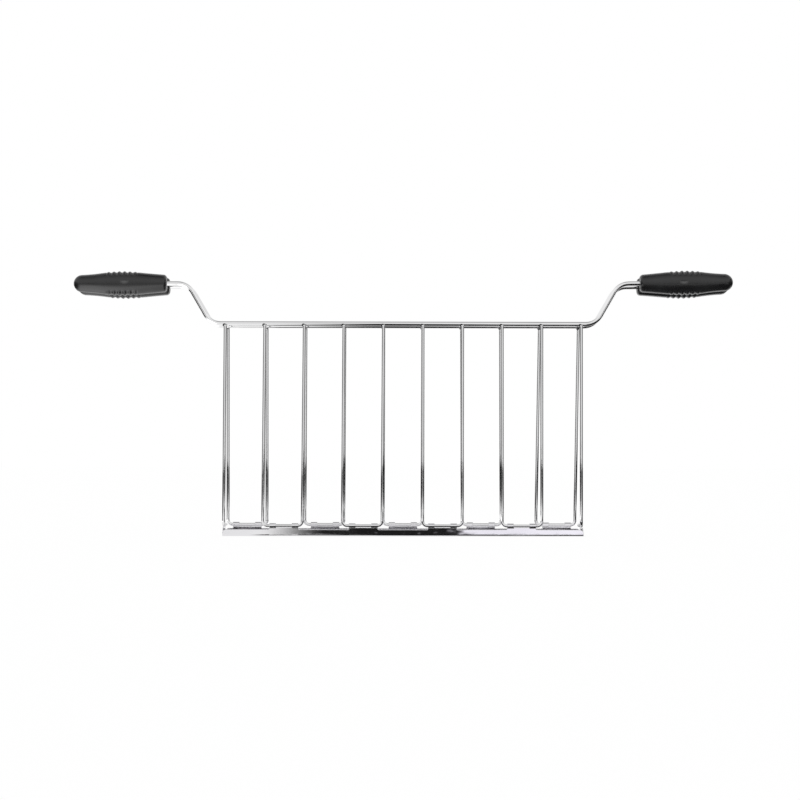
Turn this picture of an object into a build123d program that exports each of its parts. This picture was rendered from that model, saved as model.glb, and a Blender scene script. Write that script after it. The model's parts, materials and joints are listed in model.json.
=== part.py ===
from build123d import *
import math
import os

# Hinged wire sandwich rack for a long-slot toaster.
# Two wire grids stand face to face in a narrow sheet-metal tray. Each grid turns on the bottom
# wires of its own hoops, which lie in tabs curled from the tray's walls. Both grids end in
# ribbed handle halves, which are squeezed together over the sandwich.
# Units are millimetres. The origin is the middle of the tray's underside, +X runs along the
# rack to the right, -Y faces the front and +Z is up.
FRONT = -1
REAR = 1
LEFT = -1
RIGHT = 1

# --- Wires ---
rail_diameter = 3.0
upright_diameter = 2.0
station_pitch = 25.5  # spacing of the uprights along the rack
station_count = 10
rail_y = 10.5  # from the middle plane to each rail
rail_z = {FRONT: 137.2, REAR: 136.8}
weld_gap = 0.1  # between rail and upright, filled by the weld
upright_drop = 0.8  # from the rail's centre line down to the cut ends of the uprights
upright_end_round = 0.8
hoop_bend_radius = 3.0  # of the wire's centre line
foot_reach = 10.8  # how far behind the middle plane the end wires' feet stop
weld_radius = 1.1
weld_drop = 1.1  # of a weld's middle below the rail's centre line
weld_shift = -0.65  # the welds sit a little to one side of the uprights

# --- Cranks that lift the rail's ends to the handles, each bent a little differently ---
handle_z = {(FRONT, LEFT): 162.8, (FRONT, RIGHT): 163.9, (REAR, LEFT): 162.2, (REAR, RIGHT): 163.0}
handle_tilt = {LEFT: -0.2, RIGHT: 0.75}  # degrees by which a handle rises outwards
crank_corner_x = 124.3
crank_run = 14.9
crank_radius = 11.0
rail_end_chamfer = 0.4

# --- Handle halves, lengths along the grip measured from its middle ---
grip_start = 152.7  # of the grips' square ends, from the middle of the rack
grip_length = 60.0
grip_thickness = 12.0
end_half_height = 5.5
tip_radius = 5.4
shoulder_half_height = 7.05
shoulders = (-11.0, 8.5)
crest_half_height = 7.5
crest_place = -1.1
end_slope = 0.1  # rise of the outline where it leaves the square end
outer_edge_radius = 3.2
inner_edge_radius = 2.0
end_edge_radius = 1.8
bore_depth = 50.0
bore_clearance = 0.02
rib_count = 6
rib_pitch = 3.46
rib_radius = 1.0
rib_height = 0.45
end_rib_fall = 0.5  # how much lower the outermost ribs sit
rib_dive = 3.2  # how far below its crest a rib's ends run into the grip
rib_half_reach = 5.0
groove_radius = 0.8
groove_depth = 0.25

# --- Tray ---
sheet = 0.6
tray_half_length = 116.4
sheet_bend_radius = 0.7  # of the sheet's middle
low_wall_top = 4.4
lug_top = 5.75
lug_width = 18.6
tab_width = 4.2
tab_wrap = 280.0  # degrees that a tab curls round the hinge wire
tab_lean = 45.0  # degrees that a tab leans out of the wall to pass in front of the wire
tab_clearance = 0.08
wall_inset = 0.78  # of the wall's middle, back from the front of the tabs' curl
hinge_z = 6.8
wall_corner_radius = 2.6
notch_radius = 0.7
lip_top = 5.75
lip_half_width = 12.2
lip_corner_radius = 4.5
lip_relief = 0.5
tolerance = 0.01  # for picking edges by their place

# Hand assembly leaves the hoops' feet a little off their stations, and one lug as well.
front_hoop_creep = (-1.1, -0.7, 0.0, 0.3)
rear_hoop_creep = (0.2, -0.5, -0.2, 0.6, -2.1)
rear_lug_creep = (0.0, 0.0, 0.0, 0.0, -1.2)
front_lug_creep = (-0.2, 0.0, 0.0, 0.0)
left_end_creep = -0.8
right_end_creep = 0.3

# --- Worked out from the values above ---
rail_radius = rail_diameter / 2
upright_radius = upright_diameter / 2
upright_y = rail_y + rail_radius + weld_gap + upright_radius
weld_y = rail_y + rail_radius + weld_gap / 2
grip_middle_x = grip_start + grip_length / 2
half_span = station_pitch * (station_count - 1) / 2
stations = [index * station_pitch - half_span for index in range(station_count)]
front_pairs = [(stations[k], stations[k + 1]) for k in range(1, station_count - 1, 2)]
rear_pairs = [(stations[k], stations[k + 1]) for k in range(0, station_count, 2)]
tab_radius = upright_radius + tab_clearance + sheet / 2
wall_y = upright_y + tab_radius - wall_inset
lean_y = tab_radius * math.cos(math.radians(tab_lean))
lean_z = tab_radius * math.sin(math.radians(tab_lean))
knee_rise = (upright_y + lean_y - wall_y) / math.tan(math.radians(tab_lean))


# --- Wire parts ---
def handle_point(side, hand, x):
    """Point of a handle's wire at a distance x from the middle of the rack."""
    rise = (x - grip_middle_x) * math.tan(math.radians(handle_tilt[hand]))
    return (hand * x, side * rail_y, handle_z[side, hand] + rise)


def bent_rail(side):
    """Top wire of one grid, cranked up to the handles at both ends."""
    tip_x = grip_start + bore_depth - rail_end_chamfer
    halves = {
        hand: [
            (hand * crank_corner_x, side * rail_y, rail_z[side]),
            handle_point(side, hand, crank_corner_x + crank_run),
            handle_point(side, hand, tip_x),
        ]
        for hand in (LEFT, RIGHT)
    }
    with BuildPart() as rail:
        with BuildLine():
            path = FilletPolyline(*reversed(halves[LEFT]), *halves[RIGHT], radius=crank_radius)
        with BuildSketch(Plane(origin=path @ 0, z_dir=path % 0)):
            Circle(rail_radius)
        sweep()
        cut_ends = ShapeList([rail.faces().sort_by(Axis.X)[0], rail.faces().sort_by(Axis.X)[-1]])
        chamfer(cut_ends.edges(), rail_end_chamfer)
    return rail


def hoop(side, pair, creep):
    """U-shaped wire: two uprights joined by the bottom wire that lies in the tray's tabs."""
    y = side * upright_y
    top = rail_z[side] - upright_drop
    left, right = pair
    with BuildPart() as wire:
        with BuildLine():
            path = FilletPolyline(
                (left, y, top),
                (left + creep, y, hinge_z),
                (right + creep, y, hinge_z),
                (right, y, top),
                radius=hoop_bend_radius,
            )
        with BuildSketch(Plane(origin=path @ 0, z_dir=path % 0)):
            Circle(upright_radius)
        sweep()
        cut_ends = wire.faces().sort_by(Axis.Z)[-2:]
        fillet(cut_ends.edges(), upright_end_round)
    return wire


def end_wire(x, creep):
    """Single upright at the end of the front grid, its foot bent back over the tray's end lip."""
    with BuildPart() as wire:
        with BuildLine():
            path = FilletPolyline(
                (x, -upright_y, rail_z[FRONT] - upright_drop),
                (x + creep, -upright_y, hinge_z),
                (x + creep, foot_reach, hinge_z),
                radius=hoop_bend_radius,
            )
        with BuildSketch(Plane(origin=path @ 0, z_dir=path % 0)):
            Circle(upright_radius)
        sweep()
        cut_ends = ShapeList([wire.faces().sort_by(Axis.Z)[-1], wire.faces().sort_by(Axis.Y)[-1]])
        fillet(cut_ends.edges(), upright_end_round)
    return wire


def weld_nuggets(side, rail, uprights):
    """Beads of weld metal that join each upright to the outer face of the rail."""
    with BuildPart() as welds:
        with Locations(*[(x + weld_shift, side * weld_y, rail_z[side] - weld_drop) for x in stations]):
            Sphere(weld_radius)
        add(rail.part, mode=Mode.SUBTRACT)
        for upright in uprights:
            add(upright.part, mode=Mode.SUBTRACT)
    return welds


# --- Handle half ---
def rib_bars(x, seat):
    """Bowed round bars over and under the grip, whose backs stand out of it as one finger rib."""
    with BuildPart() as bars:
        for up in (1, -1):
            with BuildLine():
                bow = ThreePointArc(
                    (x, -rib_half_reach, up * (seat - rib_dive)),
                    (x, 0, up * seat),
                    (x, rib_half_reach, up * (seat - rib_dive)),
                )
            with BuildSketch(Plane(origin=bow @ 0, z_dir=bow % 0)):
                Circle(rib_radius)
            sweep()
    return bars


def grip():
    """Handle half with its middle at the origin, its tip to +X and its outer face to -Y."""
    square_end = -grip_length / 2
    tip_start = grip_length / 2 - tip_radius
    with BuildPart() as body:
        with BuildSketch(Plane.XZ):
            with BuildLine():
                top = Spline(
                    (square_end, end_half_height),
                    (shoulders[0], shoulder_half_height),
                    (crest_place, crest_half_height),
                    (shoulders[1], shoulder_half_height),
                    (tip_start, tip_radius),
                    tangents=((1, end_slope), (1, 0)),
                )
                JernArc(start=top @ 1, tangent=(1, 0), radius=tip_radius, arc_size=-90)
                Line(top @ 0, (square_end, 0))
                mirror(about=Plane.XZ)
            make_face()
        extrude(amount=grip_thickness / 2, both=True)

        side_faces = body.faces().filter_by(Axis.Y).sort_by(Axis.Y)
        outer_rim = side_faces[0].edges().filter_by(Axis.Z, reverse=True)
        inner_rim = side_faces[-1].edges().filter_by(Axis.Z, reverse=True)
        fillet(outer_rim, outer_edge_radius)
        fillet(inner_rim, inner_edge_radius)
        fillet(body.faces().sort_by(Axis.X)[0].edges(), end_edge_radius)

        last_rib = (rib_count - 1) / 2 * rib_pitch
        for index in range(rib_count - 1):
            groove_x = crest_place - last_rib + (index + 0.5) * rib_pitch
            groove_z = crest_half_height - groove_depth + groove_radius
            with Locations((groove_x, 0, groove_z), (groove_x, 0, -groove_z)):
                Cylinder(groove_radius, 2 * grip_thickness, rotation=(90, 0, 0), mode=Mode.SUBTRACT)
        for index in range(rib_count):
            offset = index * rib_pitch - last_rib
            fall = end_rib_fall * (offset / last_rib) ** 2
            bars = rib_bars(crest_place + offset, crest_half_height + rib_height - fall - rib_radius)
            add(bars.part)

        with BuildSketch(Plane.YZ.offset(square_end)):
            Circle(rail_radius + bore_clearance)
        extrude(amount=bore_depth, mode=Mode.SUBTRACT)
    return body


def fitted_grip(source, side, hand):
    """The same moulding, reflected for its corner of the rack and set on the rail's end there."""
    place = Location(handle_point(side, hand, grip_middle_x), (0, -hand * handle_tilt[hand], 0))
    with BuildPart() as half:
        shape = source.part
        if hand == LEFT:
            shape = mirror(shape, about=Plane.YZ, mode=Mode.PRIVATE)
        if side == REAR:
            shape = mirror(shape, about=Plane.XZ, mode=Mode.PRIVATE)
        add(shape.moved(place))
    return half


# --- Tray ---
def hinge_lugs(side, centres):
    """Raised pieces of one wall, each ending in two tabs curled over a hoop's bottom wire."""
    wall_plane = Plane(origin=(0, side * wall_y, 0), x_dir=(1, 0, 0), z_dir=(0, -1, 0))
    with BuildPart() as lugs:
        with BuildSketch(wall_plane):
            with Locations(*[(x, (sheet + lug_top) / 2) for x in centres]):
                Rectangle(lug_width, lug_top - sheet)
        extrude(amount=sheet / 2, both=True)
        for x in centres:
            for tab_x in (x - (lug_width - tab_width) / 2, x + (lug_width - tab_width) / 2):
                with BuildSketch(Plane.YZ.offset(tab_x)):
                    with BuildLine():
                        meet = (side * (upright_y + lean_y), hinge_z - lean_z)
                        knee = (side * wall_y, meet[1] - knee_rise)
                        Line((side * wall_y, low_wall_top), knee)
                        lean = Line(knee, meet)
                        JernArc(meet, lean % 1, tab_radius, side * tab_wrap)
                    trace(line_width=sheet)
                extrude(amount=tab_width / 2, both=True)
    return lugs


def sheet_tray(front_centres, rear_centres):
    """Bent channel with low end lips, low walls and raised hinge lugs."""
    floor_z = sheet / 2
    lip_x = tray_half_length - sheet / 2
    lip_start = tray_half_length - sheet - 2 * sheet_bend_radius
    front_lugs = hinge_lugs(FRONT, front_centres)
    rear_lugs = hinge_lugs(REAR, rear_centres)
    with BuildPart() as tray:
        with BuildSketch(Plane.YZ):
            with BuildLine():
                FilletPolyline(
                    (-wall_y, low_wall_top),
                    (-wall_y, floor_z),
                    (wall_y, floor_z),
                    (wall_y, low_wall_top),
                    radius=sheet_bend_radius,
                )
            trace(line_width=sheet)
        extrude(amount=tray_half_length, both=True)
        upper_corners = tray.edges().filter_by(Axis.Y).group_by(Axis.Z)[-1]
        fillet(upper_corners, wall_corner_radius)

        add(front_lugs.part)
        add(rear_lugs.part)
        wall_tops = tray.edges().filter_by(Axis.Y)
        steps = wall_tops.filter_by_position(Axis.Z, low_wall_top - tolerance, low_wall_top + tolerance)
        fillet(steps, notch_radius)

        for end in (-1, 1):
            with Locations((end * (lip_start + tray_half_length) / 2, 0, floor_z)):
                Box(
                    tray_half_length - lip_start,
                    2 * (lip_half_width + lip_relief),
                    2 * sheet,
                    mode=Mode.SUBTRACT,
                )
            with BuildSketch(Plane.XZ):
                with BuildLine():
                    FilletPolyline(
                        (end * lip_start, floor_z),
                        (end * lip_x, floor_z),
                        (end * lip_x, lip_top),
                        radius=sheet_bend_radius,
                    )
                trace(line_width=sheet)
            extrude(amount=lip_half_width, both=True)
        lip_tops = tray.edges().filter_by(Axis.X)
        lip_tops = lip_tops.filter_by_position(Axis.Z, lip_top - tolerance, lip_top + tolerance)
        lip_corners = [edge for edge in lip_tops if abs(abs(edge.center().Y) - lip_half_width) < tolerance]
        fillet(lip_corners, lip_corner_radius)
    return tray


def middles(pairs, creeps):
    """Middle of each pair of stations, moved by its creep."""
    return [(left + right) / 2 + creep for (left, right), creep in zip(pairs, creeps)]


# --- Assembly ---
pieces = {}
pieces["tray"] = sheet_tray(middles(front_pairs, front_lug_creep), middles(rear_pairs, rear_lug_creep))

pieces["front_rail"] = bent_rail(FRONT)
front_uprights = {
    "front_end_wire_left": end_wire(stations[0], left_end_creep),
    "front_end_wire_right": end_wire(stations[-1], right_end_creep),
}
for number, (pair, creep) in enumerate(zip(front_pairs, front_hoop_creep), start=1):
    front_uprights[f"front_hoop_{number}"] = hoop(FRONT, pair, creep)
pieces.update(front_uprights)
pieces["front_welds"] = weld_nuggets(FRONT, pieces["front_rail"], front_uprights.values())

pieces["rear_rail"] = bent_rail(REAR)
rear_uprights = {}
for number, (pair, creep) in enumerate(zip(rear_pairs, rear_hoop_creep), start=1):
    rear_uprights[f"rear_hoop_{number}"] = hoop(REAR, pair, creep)
pieces.update(rear_uprights)
pieces["rear_welds"] = weld_nuggets(REAR, pieces["rear_rail"], rear_uprights.values())

moulding = grip()
for side, grid in ((FRONT, "front"), (REAR, "rear")):
    for hand, end in ((LEFT, "left"), (RIGHT, "right")):
        pieces[f"{grid}_{end}_grip"] = fitted_grip(moulding, side, hand)

os.makedirs("parts", exist_ok=True)
for name, piece in pieces.items():
    piece.part.label = name
    export_step(piece.part, f"parts/{name}.step")
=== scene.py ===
import json
import math

import bpy
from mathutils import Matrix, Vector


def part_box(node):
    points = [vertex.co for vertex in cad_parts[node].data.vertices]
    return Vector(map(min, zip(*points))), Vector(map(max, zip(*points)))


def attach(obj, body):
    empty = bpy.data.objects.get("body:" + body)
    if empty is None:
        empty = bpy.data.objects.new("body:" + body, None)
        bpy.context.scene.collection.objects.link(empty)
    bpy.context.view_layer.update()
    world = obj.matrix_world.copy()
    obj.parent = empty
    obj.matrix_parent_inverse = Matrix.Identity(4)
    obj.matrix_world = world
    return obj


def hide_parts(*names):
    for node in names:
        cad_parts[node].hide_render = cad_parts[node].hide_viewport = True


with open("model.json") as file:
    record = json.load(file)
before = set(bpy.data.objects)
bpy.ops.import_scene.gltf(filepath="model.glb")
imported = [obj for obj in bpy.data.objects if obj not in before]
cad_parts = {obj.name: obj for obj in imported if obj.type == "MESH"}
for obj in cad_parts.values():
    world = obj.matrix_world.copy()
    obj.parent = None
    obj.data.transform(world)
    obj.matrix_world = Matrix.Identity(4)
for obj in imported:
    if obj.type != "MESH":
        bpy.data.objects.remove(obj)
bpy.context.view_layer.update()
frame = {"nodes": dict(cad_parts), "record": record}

# Hinged wire sandwich rack for a long-slot toaster: plated wire and sheet, black ribbed grips.
# Everything is in metres, in the CAD frame: +X right, -Y towards the viewer, +Z up.
MM = 0.001

# --- Grip moulding ---
RINGS = 300              # rings along a grip
RING_EASING = 0.75       # how much closer together the rings lie near the ends
AROUND = 144             # points round a ring
GRIP_LENGTH = 60.0 * MM
END_EDGE = 2.0 * MM      # rounding of the square inner end
TIP_REACH = 5.4 * MM     # how far the round outer end runs
TIP_POWER = 2.5          # the tip is blunter in thickness than in height
END_SIZE = 0.02 * MM     # half size of the last ring at the tip
PROFILE = (              # distance from the square end and half height, in mm
    (0.0, 5.45), (6.5, 6.0), (13.0, 6.55), (19.0, 7.15), (28.9, 7.55), (38.0, 7.15),
    (42.0, 6.6), (47.0, 6.0), (54.0, 5.5), (60.0, 5.45),
)
END_HALF_HEIGHT = 5.45 * MM
CORNER_EASING = 2.5 * MM  # the profile is averaged over this reach to both sides
EASING_STEPS = 8
CREST = 28.9 * MM        # middle of the ribs, from the square end
OUTER_POWER = 2.1        # squareness of the outer face's section
INNER_POWER = 4.5        # the mating face is flatter
RIB_COUNT = 6
RIB_PITCH = 3.45 * MM
RIB_RELIEF = 0.42 * MM
RIB_FADE = (0.58, 0.85)  # share of the half height over which the ribs rise from the face
RIB_RUN_OUT = (0.25, 0.6)  # pitches beyond the outermost ribs where the relief ends
END_RIB_SHARE = 0.75     # the outermost ribs are lower
DIMPLE_DEPTH = 0.35 * MM
DIMPLE_HALF = (3.0 * MM, 1.2 * MM)
DIMPLE_PLACE = {         # from the square end, and above the middle
    "left": (26.8 * MM, 0.5 * MM),
    "right": (27.9 * MM, 0.0 * MM),
}
DIMPLE_LIP = 0.3         # the dimple is deepest high up, under a short steep lip
DIMPLE_SAG = 0.5         # how far its ends curl up, as a share of its half height
DIMPLE_FACE = 0.5        # nearest share of the depth to the outer face that it may reach
GRIP_TILT = {"left": math.radians(-0.2), "right": math.radians(0.75)}  # outer end up
PARTING_RIDGE = 0.08 * MM
BORE_RADIUS = 1.52 * MM
BORE_DEPTH = 50.2 * MM
BORE_COUNTERSINK = (0.4 * MM, 0.35 * MM)  # widening and depth

# --- Finishes: noise scales are per metre, and a range holds the noise values a blend spans ---
RAIL_BRIGHT = (0.95, 0.95, 0.955)
RAIL_DULL = (0.88, 0.88, 0.88)
RAIL_ROUGHNESS = (0.015, 0.05)
UPRIGHT_BRIGHT = (0.94, 0.94, 0.945)
UPRIGHT_DULL = (0.85, 0.85, 0.855)
UPRIGHT_ROUGHNESS = (0.015, 0.06)
ALONG_X = (60.0, 900.0, 900.0)  # scale of drawn lines that run along the rack
ALONG_Z = (900.0, 900.0, 60.0)
WIRE_BLOTCHES = 28.0
WIRE_BLOTCH_RANGE = (0.42, 0.7)
WIRE_SMEARS = 90.0
WIRE_SMEAR_RANGE = (0.4, 0.72)
WIRE_RIPPLE = (0.2, 0.05 * MM)  # strength and height of a bump
WIRE_LINES = (0.1, 0.01 * MM)
LINE_ROUGHNESS = 0.02
SHEET_BRIGHT = (0.93, 0.925, 0.94)
SHEET_DULL = (0.86, 0.855, 0.875)
SHEET_ROUGHNESS = (0.02, 0.09)
SHEET_BLOTCHES = 22.0
SHEET_BLOTCH_RANGE = (0.35, 0.65)
SHEET_SMEARS = 120.0
SHEET_SMEAR_RANGE = (0.4, 0.7)
SHEET_WAVES = (38.0, 60.0, 60.0)
SHEET_RIPPLE = (0.5, 0.12 * MM)
SHEET_RUBS = (0.08, 0.03 * MM)
EDGE_ROUND = 0.5 * MM    # burred cut edges of the tray's sheet
EDGE_SAMPLES = 8
# Weld colours: a slight heat tint deepened to near black as painted shade of the crevice where an
# upright meets its rail.
WELD_TINT_AND_SHADE = (0.05, 0.05, 0.05)
WELD_BLACK = (0.015, 0.015, 0.015)
WELD_ROUGHNESS = (0.18, 0.42)
WELD_BLOTCHES = 900.0
WELD_BLOTCH_RANGE = (0.35, 0.7)
WELD_ROUGH_RANGE = (0.3, 0.7)
WELD_GRAIN = 1600.0
WELD_RELIEF = (0.6, 0.12 * MM)
PLASTIC_BLACK = (0.006, 0.006, 0.0065)
PLASTIC_WORN = (0.011, 0.011, 0.012)
# Painted highlight: the base colour that lightens the dimple, where its lower edge would catch the
# light.
PLASTIC_DIMPLE_HIGHLIGHT = (0.085, 0.085, 0.085)
PLASTIC_ROUGHNESS = (0.20, 0.28)
PLASTIC_SHINE = 0.65
PLASTIC_GRAIN = 2600.0
PLASTIC_HANDLING = 70.0
HANDLING_RANGE = (0.35, 0.7)
HANDLING_ROUGH_RANGE = (0.3, 0.7)
PLASTIC_RELIEF = (0.25, 0.04 * MM)
GRAIN_ROUGHNESS = 0.06

# --- View ---
CAMERA_DISTANCE = 1.55
CAMERA_HEIGHT = 0.056
VIEW_WIDTH = 0.52        # what the picture spans at the middle of the rack
SENSOR = 36.0
SHIFT = (-0.0038, 0.0619)
CLIP_END = 20.0
ROLL = math.radians(-0.11)

# --- Studio: what the plating and the plastic reflect ---
# Directions are told by their rise, the sine of the height above the horizon.
HORIZON_LEVEL = 0.90
HIGH_RISE = (0.05, 0.35)
HIGH_LEVEL = 1.08        # brightest part, halfway up
TOP_LEVEL = 0.68
TOP_RISE = (0.6, 0.95)
ZENITH_LEVEL = 0.1       # small dark spot straight above the rack
ZENITH_RISE = (0.965, 0.992)
SIDE_LEVEL = 0.12
SIDE_EDGE = (0.60, 0.90)  # where the pale front turns into the dark sides
SIDE_RISE = (0.12, 0.36)  # and where the sides turn pale again above
RIGHT_DARK_X = (0.72, 0.86)  # a dark panel high up at the right
RIGHT_DARK_RISE = 0.45
RIGHT_DARK_HALF = (0.07, 0.16)
RIGHT_DARK_LEVEL = 0.15
# The floor's pale and dark areas are told by where their soft edges run, in x or in y.
FLOOR_REACH = 6.0
FLOOR_Z = -0.1 * MM
FLOOR_ALBEDO = 0.1
FLOOR_GLOW = 0.93
FLOOR_REFLECTED = 0.88
LEFT_GLOW = 1.25         # the floor is brighter in front of the left grips
LEFT_EDGE = (-0.225, -0.150)
LEFT_END = (-0.32, -0.25)
LEFT_FRONT = (-0.62, -0.20)
LEFT_BACK = (-0.03, 0.13)
FRONT_FADE = (-1.4, -0.25)
FRONT_SHARE = 0.6        # and less bright far out in front
DARK_LEVEL = 0.012
DARK_LEFT = (-0.095, -0.015)
DARK_SLOPE = 3.6         # the dark patch's front edge runs back towards the right
DARK_FRONT = -0.52
DARK_FRONT_LIMIT = -0.22
DARK_SOFT = 0.06
DARK_GAP = 0.0128        # middle of the pale strip along the tray's foot
DARK_GAP_HALF = (0.0012, 0.0020)
DARK_NEAR = (-0.045, -0.035)  # close to the tray the dark patch starts further left
DARK_NEAR_LEFT = (-0.100, -0.088)
DARK_BACK = (0.06, 0.20)
DARK_GRIP = (0.14, 0.19)  # under the right grips the dark patch reaches further out
DARK_GRIP_FRONT = -0.40
DARK_RIGHT = (0.26, 0.36)  # and beyond them it is narrower
DARK_RIGHT_FRONT = 0.27
SIDE_PATCH = (-0.37, -0.33)  # a dark patch left of the rack
SIDE_PATCH_MIDDLE = -0.02
SIDE_PATCH_HALF = (0.24, 0.30)
FAR = (0.5, 0.62)        # and far out to both sides the floor is dark too
SLAT_Y = -0.050          # low reflector in front of the tray
SLAT_HEIGHT = 0.0072
SLAT_SPAN = (-0.11, 0.16)
SLAT_DARK = (-0.098, -0.050)  # where it turns from clear to dark
SLAT_WHITE = (0.018, 0.070)  # and from dark to white
SLAT_SHADE = (0.95, 0.93, 1.0)
SLAT_MOTTLING = (150.0, 1.0, 500.0)
SLAT_MOTTLED = 1.8       # weight of the mottling, against 2 for the change from dark to white
SLAT_CONTRAST = (1.15, 2.0)


def smooth(low, high, value):
    """0 below low, 1 above high, and a smooth step between."""
    share = min(1.0, max(0.0, (value - low) / (high - low)))
    return share * share * (3 - 2 * share)


# --- Node helpers ---
class Nodes:
    """A node tree with short calls for the nodes that the materials here use."""

    def __init__(self, tree):
        self.tree = tree
        tree.nodes.clear()

    def add(self, kind, **values):
        node = self.tree.nodes.new("ShaderNode" + kind)
        for key, value in values.items():
            if hasattr(node, key):
                setattr(node, key, value)
            else:
                node.inputs[key.replace("_", " ")].default_value = value
        return node

    def link(self, source, target, name):
        self.tree.links.new(source, target.inputs[name])

    def math(self, operation, first, second=0.0):
        node = self.add("Math", operation=operation)
        for index, value in enumerate((first, second)):
            if isinstance(value, (int, float)):
                node.inputs[index].default_value = value
            else:
                self.tree.links.new(value, node.inputs[index])
        return node.outputs[0]

    def remap(self, value, low, high, new_low, new_high):
        """new_low below low, new_high above high, and a smooth step between."""
        node = self.add("MapRange", interpolation_type="SMOOTHSTEP")
        self.link(value, node, "Value")
        names = ("From Min", "From Max", "To Min", "To Max")
        for name, number in zip(names, (low, high, new_low, new_high)):
            node.inputs[name].default_value = number
        return node.outputs[0]

    def fade(self, share, first, second):
        """first where share is 0, second where it is 1."""
        kept = self.math("MULTIPLY", first, self.math("SUBTRACT", 1.0, share))
        return self.math("ADD", kept, self.math("MULTIPLY", share, second))

    def noise(self, vector, scale, detail=2.0, roughness=0.5):
        node = self.add("TexNoise", Scale=scale, Detail=detail, Roughness=roughness)
        self.link(vector, node, "Vector")
        return node.outputs["Fac"]

    def stretched(self, vector, scale):
        """The vector scaled on each axis, which draws noise out along the axis scaled least."""
        node = self.add("Mapping")
        node.inputs["Scale"].default_value = scale
        self.link(vector, node, "Vector")
        return node.outputs["Vector"]

    def blend(self, share, first, second):
        node = self.add("Mix", data_type="RGBA")
        self.link(share, node, "Factor")
        node.inputs["A"].default_value = (*first, 1)
        node.inputs["B"].default_value = (*second, 1)
        return node.outputs["Result"]

    def bump(self, height, strength, distance, below=None):
        """Surface normal with a relief on it, laid over the normal below if there is one."""
        node = self.add("Bump", Strength=strength, Distance=distance)
        self.link(height, node, "Height")
        if below is not None:
            self.link(below, node, "Normal")
        return node.outputs["Normal"]


def new_material(name):
    """A material with its node tree, its texture space in metres and its surface shader."""
    material = bpy.data.materials.new(name)
    material.use_nodes = True
    nodes = Nodes(material.node_tree)
    place = nodes.add("TexCoord").outputs["Object"]
    surface = nodes.add("BsdfPrincipled")
    output = nodes.add("OutputMaterial")
    nodes.link(surface.outputs[0], output, "Surface")
    return material, nodes, place, surface


def plated_wire(name, bright, dull, grain, rough):
    """Bright plating over drawn wire: fine lines along the wire, faint smears and dull patches."""
    material, nodes, place, surface = new_material(name)
    surface.inputs["Metallic"].default_value = 1.0
    lines = nodes.noise(nodes.stretched(place, grain), 1.0, 3.0)
    smears = nodes.noise(place, WIRE_SMEARS, 4.0, 0.6)
    patches = nodes.noise(place, WIRE_BLOTCHES, 2.0)
    plating = nodes.blend(nodes.remap(patches, *WIRE_BLOTCH_RANGE, 0, 1), bright, dull)
    nodes.link(plating, surface, "Base Color")
    smeared = nodes.remap(smears, *WIRE_SMEAR_RANGE, *rough)
    roughness = nodes.math("ADD", smeared, nodes.math("MULTIPLY", lines, LINE_ROUGHNESS))
    nodes.link(roughness, surface, "Roughness")
    ripple = nodes.bump(nodes.noise(place, WIRE_SMEARS, 1.0), *WIRE_RIPPLE)
    nodes.link(nodes.bump(lines, *WIRE_LINES, ripple), surface, "Normal")
    return material


def plated_sheet(name):
    """Bright plating over thin bent sheet: slow ripples from the press and fine rub marks."""
    material, nodes, place, surface = new_material(name)
    surface.inputs["Metallic"].default_value = 1.0
    tint = nodes.noise(place, SHEET_BLOTCHES, 3.0)
    plating = nodes.blend(nodes.remap(tint, *SHEET_BLOTCH_RANGE, 0, 1), SHEET_BRIGHT, SHEET_DULL)
    nodes.link(plating, surface, "Base Color")
    rubs = nodes.noise(nodes.stretched(place, ALONG_X), 1.0, 4.0, 0.65)
    smears = nodes.noise(place, SHEET_SMEARS, 4.0, 0.6)
    smeared = nodes.remap(smears, *SHEET_SMEAR_RANGE, *SHEET_ROUGHNESS)
    roughness = nodes.math("ADD", smeared, nodes.math("MULTIPLY", rubs, LINE_ROUGHNESS))
    nodes.link(roughness, surface, "Roughness")
    rounded = nodes.add("Bevel", samples=EDGE_SAMPLES)
    rounded.inputs["Radius"].default_value = EDGE_ROUND
    waves = nodes.noise(nodes.stretched(place, SHEET_WAVES), 1.0, 1.5)
    ripples = nodes.bump(waves, *SHEET_RIPPLE, rounded.outputs[0])
    nodes.link(nodes.bump(rubs, *SHEET_RUBS, ripples), surface, "Normal")
    return material


def weld_metal(name):
    """Weld beads painted near black: a slight heat tint, deepened into painted shade of the crevice
    where an upright meets its rail; rougher than the plated wire.
    """
    material, nodes, place, surface = new_material(name)
    surface.inputs["Metallic"].default_value = 1.0
    blotch = nodes.noise(place, WELD_BLOTCHES, 3.0)
    # Painted crevice shade over the weld's tint, mottled by the blotch noise.
    tint_and_shade = nodes.blend(nodes.remap(blotch, *WELD_BLOTCH_RANGE, 0, 1), WELD_TINT_AND_SHADE, WELD_BLACK)
    nodes.link(tint_and_shade, surface, "Base Color")
    nodes.link(nodes.remap(blotch, *WELD_ROUGH_RANGE, *WELD_ROUGHNESS), surface, "Roughness")
    grain = nodes.noise(place, WELD_GRAIN, 3.0)
    nodes.link(nodes.bump(grain, *WELD_RELIEF), surface, "Normal")
    return material


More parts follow.
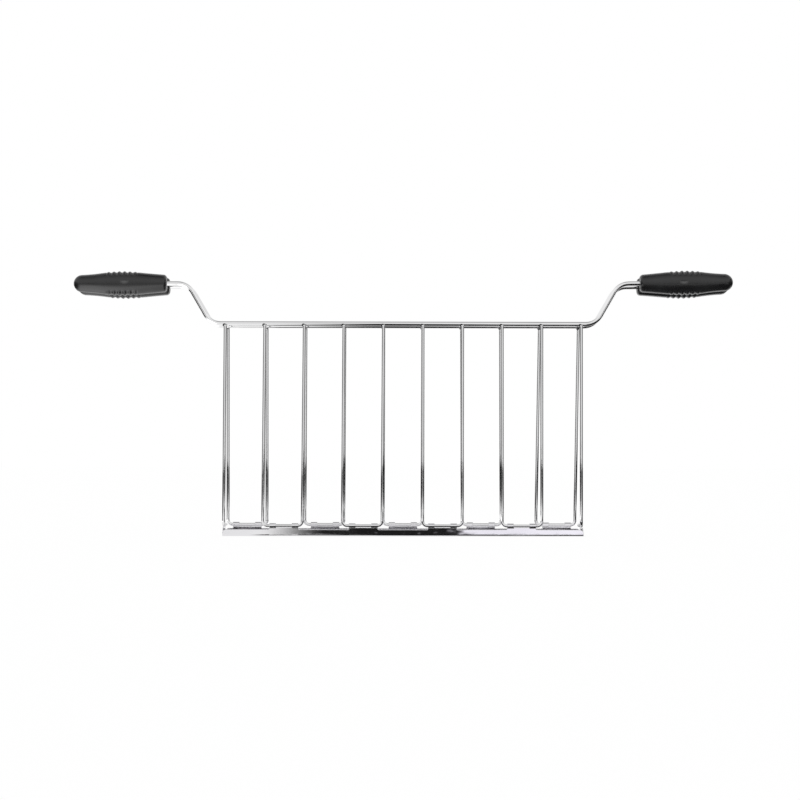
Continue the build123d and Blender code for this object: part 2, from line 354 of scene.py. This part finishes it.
def moulded_plastic(name):
    """Black satin heat-resistant plastic with a fine moulded grain."""
    material, nodes, place, surface = new_material(name)
    grain = nodes.noise(place, PLASTIC_GRAIN, 2.0, 0.6)
    handling = nodes.noise(place, PLASTIC_HANDLING, 3.0)
    black = nodes.blend(nodes.remap(handling, *HANDLING_RANGE, 0, 1), PLASTIC_BLACK, PLASTIC_WORN)
    # Painted highlight: the dimple is lightened in the base colour, most where it is deepest.
    dimple_highlight = nodes.add("Attribute", attribute_name="dimple_highlight").outputs["Fac"]
    highlight_mix = nodes.add("Mix", data_type="RGBA")
    nodes.link(dimple_highlight, highlight_mix, "Factor")
    nodes.link(black, highlight_mix, "A")
    highlight_mix.inputs["B"].default_value = (*PLASTIC_DIMPLE_HIGHLIGHT, 1)
    nodes.link(highlight_mix.outputs["Result"], surface, "Base Color")
    handled = nodes.remap(handling, *HANDLING_ROUGH_RANGE, *PLASTIC_ROUGHNESS)
    roughness = nodes.math("ADD", handled, nodes.math("MULTIPLY", grain, GRAIN_ROUGHNESS))
    nodes.link(roughness, surface, "Roughness")
    surface.inputs["Specular IOR Level"].default_value = PLASTIC_SHINE
    nodes.link(nodes.bump(grain, *PLASTIC_RELIEF), surface, "Normal")
    return material


# --- Grips ---
def half_height(distance):
    """Half height of a grip's body at a distance from its square end, before its ends are rounded."""
    for (near, low), (far, high) in zip(PROFILE, PROFILE[1:]):
        if distance <= far * MM or far == PROFILE[-1][0]:
            share = min(1.0, (distance - near * MM) / ((far - near) * MM))
            return (low + (high - low) * share) * MM


def eased_half_height(distance):
    """The same with its corners eased."""
    total = 0.0
    for step in range(-EASING_STEPS, EASING_STEPS + 1):
        total += half_height(abs(distance + CORNER_EASING * step / EASING_STEPS))
    return total / (2 * EASING_STEPS + 1)


def end_shares(distance, length):
    """Inset of the square end's rounding, and what the tip leaves of the height and thickness."""
    inset = 0.0
    if distance < END_EDGE:
        inset = END_EDGE - math.sqrt(max(0.0, END_EDGE**2 - (END_EDGE - distance) ** 2))
    over = max(0.0, (distance - (length - TIP_REACH)) / TIP_REACH)
    round_height = math.sqrt(max(0.0, 1 - over**2))
    round_depth = max(0.0, 1 - over**TIP_POWER) ** (1 / TIP_POWER)
    return inset, round_height, round_depth


def rib_wave(distance):
    """Relief of the finger ribs along the grip, -1 in a groove to 1 on a crest."""
    offset = distance - CREST
    reach = (RIB_COUNT - 1) / 2 * RIB_PITCH
    run_out = [reach + share * RIB_PITCH for share in RIB_RUN_OUT]
    window = 1 - smooth(*run_out, abs(offset))
    window *= 1 - (1 - END_RIB_SHARE) * (offset / reach) ** 2
    return -math.cos(2 * math.pi * offset / RIB_PITCH) * max(0.0, window)


def dimple(distance, rise, y, hand):
    """Depth of the small crescent mark on the outer face."""
    across = (distance - DIMPLE_PLACE[hand][0]) / DIMPLE_HALF[0]
    up = (rise - DIMPLE_PLACE[hand][1]) / DIMPLE_HALF[1] - DIMPLE_SAG * across**2
    if y < DIMPLE_FACE or abs(across) >= 1 or abs(up) >= 1:
        return 0.0
    slope = (1 - up) / (1 - DIMPLE_LIP) if up > DIMPLE_LIP else (up + 1) / (DIMPLE_LIP + 1)
    return DIMPLE_DEPTH * slope * (1 - across**2)


def ring_distances(length):
    """Places of the rings, closer together where the ends turn."""
    places = []
    for index in range(RINGS + 1):
        share = index / RINGS
        easing = math.sin(2 * math.pi * share) / (2 * math.pi) * RING_EASING
        places.append(length * (share - easing))
    return places


def build_grip(node, name, body, material):
    """Ribbed handle half round a rail's end, with a rounded tip, a dimple and a blind bore."""
    low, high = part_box(node)
    half_thickness = (high.y - low.y) / 2
    centre = (low + high) / 2
    outward = 1 if centre.x > 0 else -1
    away = 1 if centre.y > 0 else -1
    hand = "right" if outward > 0 else "left"
    tilt = GRIP_TILT[hand]
    length = GRIP_LENGTH

    def point(distance, depth, height):
        along = distance - length / 2
        out = along * math.cos(tilt) - height * math.sin(tilt)
        up = along * math.sin(tilt) + height * math.cos(tilt)
        return (centre.x + outward * out, centre.y + away * depth, centre.z + up)

    points = []
    dimple_highlight = []
    for distance in ring_distances(length):
        inset, round_height, round_depth = end_shares(distance, length)
        height = max(eased_half_height(distance) * round_height - inset, END_SIZE)
        depth = max(half_thickness * round_depth - inset, END_SIZE)
        wave = rib_wave(distance)
        for step in range(AROUND):
            angle = 2 * math.pi * step / AROUND
            power = OUTER_POWER if math.cos(angle) > 0 else INNER_POWER
            y = math.copysign(abs(math.cos(angle)) ** (2 / power), math.cos(angle))
            z = math.copysign(abs(math.sin(angle)) ** (2 / power), math.sin(angle))
            relief = RIB_RELIEF * wave * smooth(*RIB_FADE, abs(z))
            if step in (AROUND // 4, 3 * AROUND // 4):
                relief += PARTING_RIDGE
            fade = min(1.0, height / END_HALF_HEIGHT)
            ridge = relief * fade * math.copysign(1.0, z)
            sunk = dimple(distance, z * height, y, hand)
            # Share of the dimple's depth, kept as the mask for its painted highlight.
            dimple_highlight.append(sunk / DIMPLE_DEPTH)
            bulge = relief * fade * max(0.0, y) - sunk
            points.append(point(distance, depth * y + bulge, height * z + ridge))
    first_bore = len(points)
    widening, countersink = BORE_COUNTERSINK
    bore_rings = (
        (0.0, BORE_RADIUS + widening),
        (countersink, BORE_RADIUS),
        (BORE_DEPTH, BORE_RADIUS),
    )
    for distance, radius in bore_rings:
        for step in range(AROUND):
            angle = 2 * math.pi * step / AROUND
            points.append(point(distance, radius * math.cos(angle), radius * math.sin(angle)))
    tip = len(points)
    points.append(point(length, 0, 0))
    bore_end = len(points)
    points.append(point(BORE_DEPTH, 0, 0))

    faces = []

    def band(lower, upper):
        for step in range(AROUND):
            after = (step + 1) % AROUND
            faces.append((lower + step, lower + after, upper + after, upper + step))

    for ring in range(RINGS):
        band(ring * AROUND, (ring + 1) * AROUND)
    band(first_bore, 0)
    band(first_bore + AROUND, first_bore)
    band(first_bore + 2 * AROUND, first_bore + AROUND)
    last = RINGS * AROUND
    for step in range(AROUND):
        after = (step + 1) % AROUND
        faces.append((last + step, last + after, tip))
        faces.append((first_bore + 2 * AROUND + after, first_bore + 2 * AROUND + step, bore_end))
    if outward * away < 0:
        faces = [tuple(reversed(face)) for face in faces]

    mesh = bpy.data.meshes.new(name)
    mesh.from_pydata(points, [], faces)
    mesh.materials.append(material)
    dimple_highlight += [0.0] * (len(points) - len(dimple_highlight))
    mesh.attributes.new("dimple_highlight", "FLOAT", "POINT").data.foreach_set("value", dimple_highlight)
    mesh.validate()
    mesh.shade_smooth()
    grip = bpy.data.objects.new(name, mesh)
    bpy.context.scene.collection.objects.link(grip)
    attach(grip, body)
    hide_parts(node)
    return grip


# --- Stage ---
def world_light():
    """White backdrop, and a soft studio to reflect: pale, with dark low sides and one dark panel."""
    world = bpy.data.worlds.new("studio")
    bpy.context.scene.world = world
    world.use_nodes = True
    nodes = Nodes(world.node_tree)
    direction = nodes.add("TexCoord").outputs["Generated"]
    split = nodes.add("SeparateXYZ")
    nodes.link(direction, split, "Vector")
    rise = split.outputs["Z"]
    front = nodes.remap(rise, *HIGH_RISE, HORIZON_LEVEL, HIGH_LEVEL)
    top = nodes.remap(rise, *TOP_RISE, 0.0, TOP_LEVEL - HIGH_LEVEL)
    zenith = nodes.remap(rise, *ZENITH_RISE, 0.0, ZENITH_LEVEL - TOP_LEVEL)
    level = nodes.math("ADD", nodes.math("ADD", front, top), zenith)
    side = nodes.remap(nodes.math("ABSOLUTE", split.outputs["X"]), *SIDE_EDGE, 0, 1)
    side = nodes.math("MULTIPLY", side, nodes.remap(rise, *SIDE_RISE, 1, 0))
    level = nodes.fade(side, level, SIDE_LEVEL)
    off_panel = nodes.math("ABSOLUTE", nodes.math("SUBTRACT", rise, RIGHT_DARK_RISE))
    panel = nodes.remap(off_panel, *RIGHT_DARK_HALF, 1, 0)
    panel = nodes.math("MULTIPLY", panel, nodes.remap(split.outputs["X"], *RIGHT_DARK_X, 0, 1))
    level = nodes.fade(panel, level, RIGHT_DARK_LEVEL)
    studio = nodes.add("Background")
    nodes.link(level, studio, "Strength")
    white = nodes.add("Background")
    white.inputs["Strength"].default_value = 1.0
    white.inputs["Color"].default_value = (1, 1, 1, 1)
    seen = nodes.add("LightPath").outputs["Is Camera Ray"]
    pick = nodes.add("MixShader")
    nodes.link(seen, pick, 0)
    nodes.tree.links.new(studio.outputs[0], pick.inputs[1])
    nodes.tree.links.new(white.outputs[0], pick.inputs[2])
    output = nodes.add("OutputWorld")
    nodes.link(pick.outputs[0], output, "Surface")


def stage_plane(name, corners, material):
    """One flat face that belongs to the stage, not to the rack."""
    mesh = bpy.data.meshes.new(name)
    mesh.from_pydata(corners, [], [(0, 1, 2, 3)])
    mesh.materials.append(material)
    plane = bpy.data.objects.new(name, mesh)
    bpy.context.scene.collection.objects.link(plane)
    return plane


def reflected_floor_level(nodes):
    """Brightness of the floor in reflections: bright at the left, dark under the right half."""
    split = nodes.add("SeparateXYZ")
    nodes.link(nodes.add("TexCoord").outputs["Object"], split, "Vector")
    x, y = split.outputs["X"], split.outputs["Y"]
    level = nodes.math("MULTIPLY", FLOOR_REFLECTED, nodes.remap(y, *FRONT_FADE, FRONT_SHARE, 1.0))
    glow = nodes.remap(x, *LEFT_END, 0, LEFT_GLOW)
    glow = nodes.math("MULTIPLY", glow, nodes.remap(x, *LEFT_EDGE, 1, 0))
    glow = nodes.math("MULTIPLY", glow, nodes.remap(y, *LEFT_FRONT, 0, 1))
    glow = nodes.math("MULTIPLY", glow, nodes.remap(y, *LEFT_BACK, 1, 0))
    level = nodes.math("ADD", level, glow)

    slanted = nodes.math("ADD", nodes.math("MULTIPLY", x, DARK_SLOPE), DARK_FRONT)
    edge = nodes.math("MINIMUM", slanted, DARK_FRONT_LIMIT)
    edge = nodes.math("ADD", edge, nodes.remap(x, *DARK_GRIP, 0, DARK_GRIP_FRONT))
    edge = nodes.math("ADD", edge, nodes.remap(x, *DARK_RIGHT, 0, DARK_RIGHT_FRONT))
    dark = nodes.remap(nodes.math("SUBTRACT", y, edge), -DARK_SOFT, DARK_SOFT, 0, 1)
    near = nodes.remap(y, *DARK_NEAR, 0, 1)
    near = nodes.math("MULTIPLY", near, nodes.remap(x, *DARK_NEAR_LEFT, 0, 1))
    right = nodes.math("MAXIMUM", near, nodes.remap(x, *DARK_LEFT, 0, 1))
    dark = nodes.math("MULTIPLY", dark, right)
    off_gap = nodes.math("ABSOLUTE", nodes.math("ADD", y, DARK_GAP))
    dark = nodes.math("MULTIPLY", dark, nodes.remap(off_gap, *DARK_GAP_HALF, 0, 1))
    dark = nodes.math("MULTIPLY", dark, nodes.remap(y, *DARK_BACK, 1, 0))

    off_patch = nodes.math("ABSOLUTE", nodes.math("SUBTRACT", y, SIDE_PATCH_MIDDLE))
    beside = nodes.remap(off_patch, *SIDE_PATCH_HALF, 1, 0)
    beside = nodes.math("MULTIPLY", beside, nodes.remap(x, *SIDE_PATCH, 1, 0))
    far = nodes.remap(nodes.math("ABSOLUTE", x), *FAR, 0, 1)
    dark = nodes.math("MAXIMUM", dark, nodes.math("MAXIMUM", beside, far))
    return nodes.fade(dark, level, DARK_LEVEL)


def floor():
    """Plain pale floor, which shows the studio's pale and dark areas only in reflections."""
    material = bpy.data.materials.new("pale_floor")
    material.use_nodes = True
    nodes = Nodes(material.node_tree)
    surface = nodes.add("BsdfPrincipled")
    surface.inputs["Base Color"].default_value = (FLOOR_ALBEDO, FLOOR_ALBEDO, FLOOR_ALBEDO, 1)
    surface.inputs["Roughness"].default_value = 1.0
    surface.inputs["Specular IOR Level"].default_value = 0.0
    surface.inputs["Emission Color"].default_value = (1, 1, 1, 1)
    surface.inputs["Emission Strength"].default_value = FLOOR_GLOW
    reflected = nodes.add("Emission")
    nodes.link(reflected_floor_level(nodes), reflected, "Strength")
    pick = nodes.add("MixShader")
    nodes.link(nodes.add("LightPath").outputs["Is Glossy Ray"], pick, 0)
    nodes.tree.links.new(surface.outputs[0], pick.inputs[1])
    nodes.tree.links.new(reflected.outputs[0], pick.inputs[2])
    output = nodes.add("OutputMaterial")
    nodes.link(pick.outputs[0], output, "Surface")
    corners = (
        (-FLOOR_REACH, -FLOOR_REACH, FLOOR_Z),
        (FLOOR_REACH, -FLOOR_REACH, FLOOR_Z),
        (FLOOR_REACH, FLOOR_REACH, FLOOR_Z),
        (-FLOOR_REACH, FLOOR_REACH, FLOOR_Z),
    )
    stage_plane("floor", corners, material)


def low_reflector():
    """Low strip before the tray, seen only in reflections: dark at its middle, white at its right."""
    material = bpy.data.materials.new("low_reflector")
    material.use_nodes = True
    nodes = Nodes(material.node_tree)
    place = nodes.add("TexCoord").outputs["Object"]
    split = nodes.add("SeparateXYZ")
    nodes.link(place, split, "Vector")
    cover = nodes.remap(split.outputs["X"], *SLAT_DARK, 0, 1)
    mottling = nodes.noise(nodes.stretched(place, SLAT_MOTTLING), 1.0, 2.0)
    solid = nodes.remap(split.outputs["X"], *SLAT_WHITE, 0, 2)
    mottled = nodes.math("ADD", solid, nodes.math("MULTIPLY", mottling, SLAT_MOTTLED))
    white = nodes.remap(mottled, *SLAT_CONTRAST, 0, 1)
    shade = nodes.blend(white, (DARK_LEVEL, DARK_LEVEL, DARK_LEVEL), SLAT_SHADE)
    clear = nodes.add("BsdfTransparent")
    glow = nodes.add("Emission", Strength=1.0)
    nodes.link(shade, glow, "Color")
    mix = nodes.add("MixShader")
    nodes.link(cover, mix, 0)
    nodes.tree.links.new(clear.outputs[0], mix.inputs[1])
    nodes.tree.links.new(glow.outputs[0], mix.inputs[2])
    output = nodes.add("OutputMaterial")
    nodes.link(mix.outputs[0], output, "Surface")
    left, right = SLAT_SPAN
    corners = (
        (left, SLAT_Y, 0),
        (right, SLAT_Y, 0),
        (right, SLAT_Y, SLAT_HEIGHT),
        (left, SLAT_Y, SLAT_HEIGHT),
    )
    strip = stage_plane("low_reflector", corners, material)
    strip.visible_camera = False
    strip.visible_diffuse = False
    strip.visible_shadow = False
    strip.visible_transmission = False


def camera():
    """Level view of the rack's front, from a little above its tray."""
    data = bpy.data.cameras.new("camera")
    data.sensor_width = SENSOR
    data.lens = SENSOR * CAMERA_DISTANCE / VIEW_WIDTH
    data.shift_x, data.shift_y = SHIFT
    data.clip_end = CLIP_END
    holder = bpy.data.objects.new("camera", data)
    holder.location = (0, -CAMERA_DISTANCE, CAMERA_HEIGHT)
    holder.rotation_euler = (math.radians(90), ROLL, 0)
    bpy.context.scene.collection.objects.link(holder)
    bpy.context.scene.camera = holder


# --- Build ---
finishes = {
    "rail_wire": plated_wire("rail_wire", RAIL_BRIGHT, RAIL_DULL, ALONG_X, RAIL_ROUGHNESS),
    "upright_wire": plated_wire(
        "upright_wire", UPRIGHT_BRIGHT, UPRIGHT_DULL, ALONG_Z, UPRIGHT_ROUGHNESS
    ),
    "tray_steel": plated_sheet("tray_steel"),
    "weld_metal": weld_metal("weld_metal"),
    "grip_plastic": moulded_plastic("grip_plastic"),
}
for subpart in frame["record"]["subparts"]:
    node = frame["nodes"][subpart["node"]]
    node.data.materials.clear()
    node.data.materials.append(finishes[subpart["material_slot"]])

for grid in ("front", "rear"):
    for side in ("left", "right"):
        node = f"{grid}_{side}_grip"
        name = f"{grid}_{side}_moulded_grip"
        build_grip(node, name, f"{grid}_grid", finishes["grip_plastic"])

world_light()
floor()
low_reflector()
camera()
bpy.context.scene.view_settings.view_transform = "Standard"
